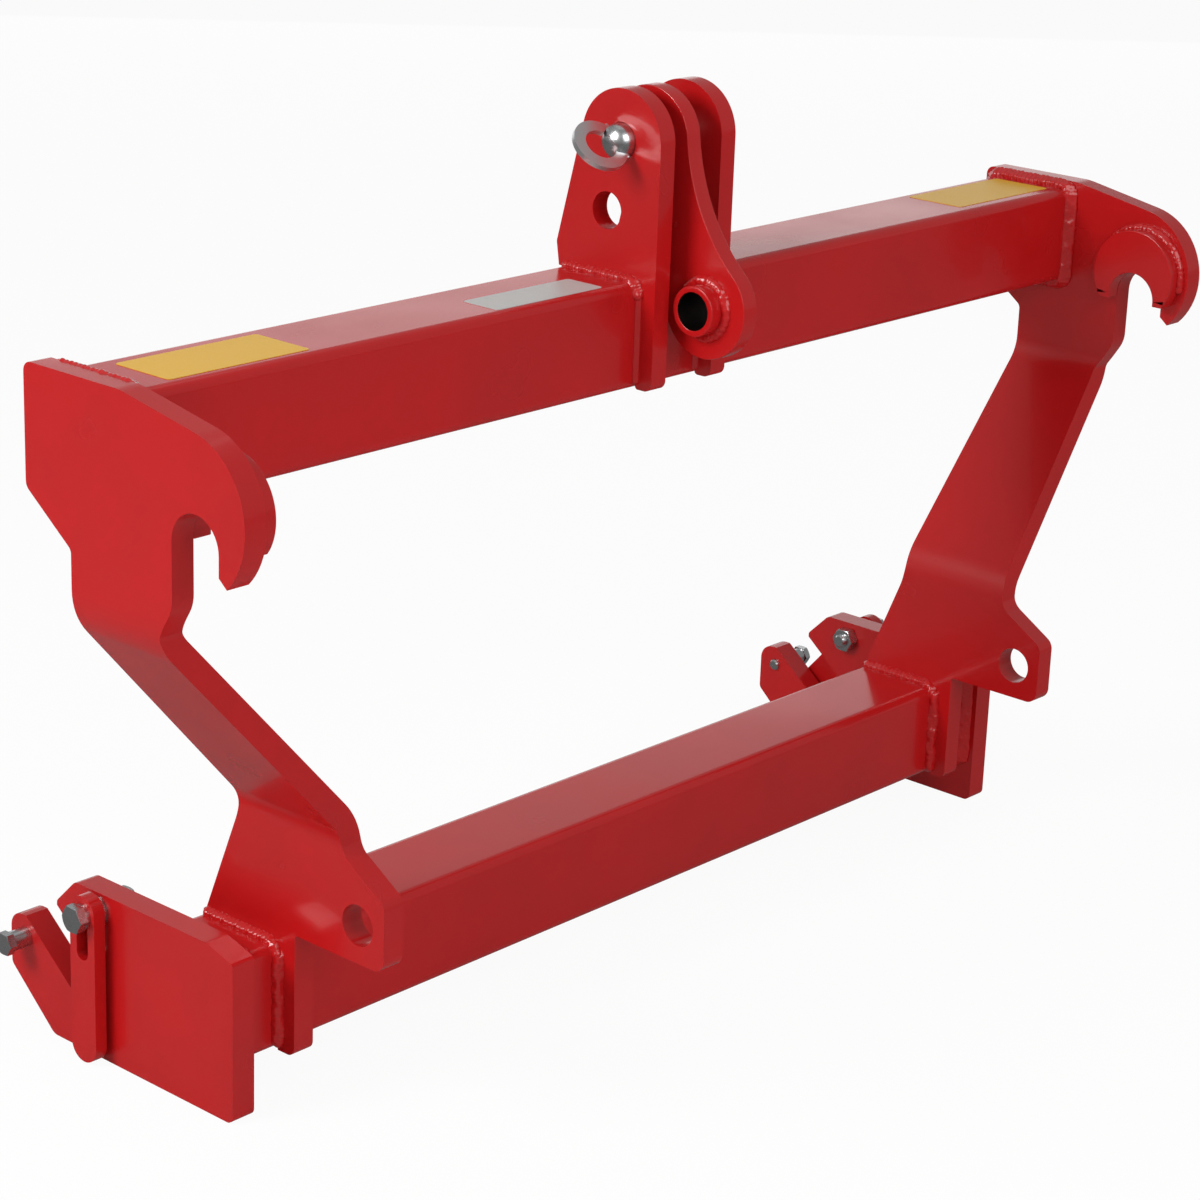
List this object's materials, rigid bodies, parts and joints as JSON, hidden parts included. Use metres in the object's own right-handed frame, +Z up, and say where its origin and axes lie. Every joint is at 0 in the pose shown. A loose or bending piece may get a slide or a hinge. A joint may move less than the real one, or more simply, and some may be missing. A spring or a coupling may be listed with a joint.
{
  "type": "loader to three point adapter",
  "caption": "Welded frame of two square beams with hooks and eyes for a loader, slotted end plates with swinging latches and a pinned clevis for an implement.",
  "frame": {"origin": "on the ground, mid-width, halfway between the hooks' noses and the rear prongs of the end plates", "axes": "+X across the frame to the right seen from the loader, +Y from the loader to the implement, +Z up"},
  "size_m": [1.074, 0.36, 0.6785],
  "materials": {
    "red_enamel": "glossy",
    "zinc_plate": "bright zinc plating",
    "pin_steel": "bright zinc plating"
  },
  "bodies": {
    "frame": {"lower_beam": "red_enamel", "upper_beam": "red_enamel", "side_plate_right": "red_enamel", "side_plate_left": "red_enamel", "hook_doubler_right": "red_enamel", "hook_doubler_left": "red_enamel", "end_plate_right": "red_enamel", "end_plate_left": "red_enamel", "link_lug_right": "red_enamel", "link_lug_left": "red_enamel", "stop_bolts": "zinc_plate", "stop_sleeves": "zinc_plate"},
    "pivot_right": {"pivot_bolt_right": "zinc_plate", "pivot_washers_right": "zinc_plate", "pivot_nut_right": "zinc_plate"},
    "pivot_left": {"pivot_bolt_left": "zinc_plate", "pivot_washers_left": "zinc_plate", "pivot_nut_left": "zinc_plate"},
    "latch_right": {"latch_bar_right": "red_enamel"},
    "latch_left": {"latch_bar_left": "red_enamel"},
    "pin": {"top_pin": "pin_steel"},
    "ring": {"pin_ring": "pin_steel"},
    "arm": {"swing_arm": "red_enamel", "arm_boss": "red_enamel"}
  },
  "joints": [
    {"name": "arm_swing", "type": "hinge", "parent": "frame", "child": "arm", "pos_m": [0, -0.0345, 0.64], "axis": [1, 0, 0], "range_deg": [-280, 0]},
    {"name": "pin_spin", "type": "hinge", "parent": "frame", "child": "pin", "pos_m": [0, -0.0345, 0.64], "axis": [1, 0, 0], "continuous": true},
    {"name": "ring_fold", "type": "hinge", "parent": "pin", "child": "ring", "pos_m": [-0.0465, -0.0345, 0.64], "axis": [0, 0.749, 0.6626], "range_deg": [-84, 95]},
    {"name": "latch_swing_right", "type": "hinge", "parent": "frame", "child": "pivot_right", "pos_m": [0.435, 0.0805, 0.1155], "axis": [1, 0, 0], "range_deg": [-328, 6]},
    {"name": "latch_slide_right", "type": "slide", "parent": "pivot_right", "child": "latch_right", "axis": [0, -0.6561, 0.7547], "range_m": [0, 0.028]},
    {"name": "latch_swing_left", "type": "hinge", "parent": "frame", "child": "pivot_left", "pos_m": [-0.435, 0.0805, 0.1155], "axis": [1, 0, 0], "range_deg": [-287, 47]},
    {"name": "latch_slide_left", "type": "slide", "parent": "pivot_left", "child": "latch_left", "axis": [0, 0, 1], "range_m": [0, 0.028]}
  ]
}
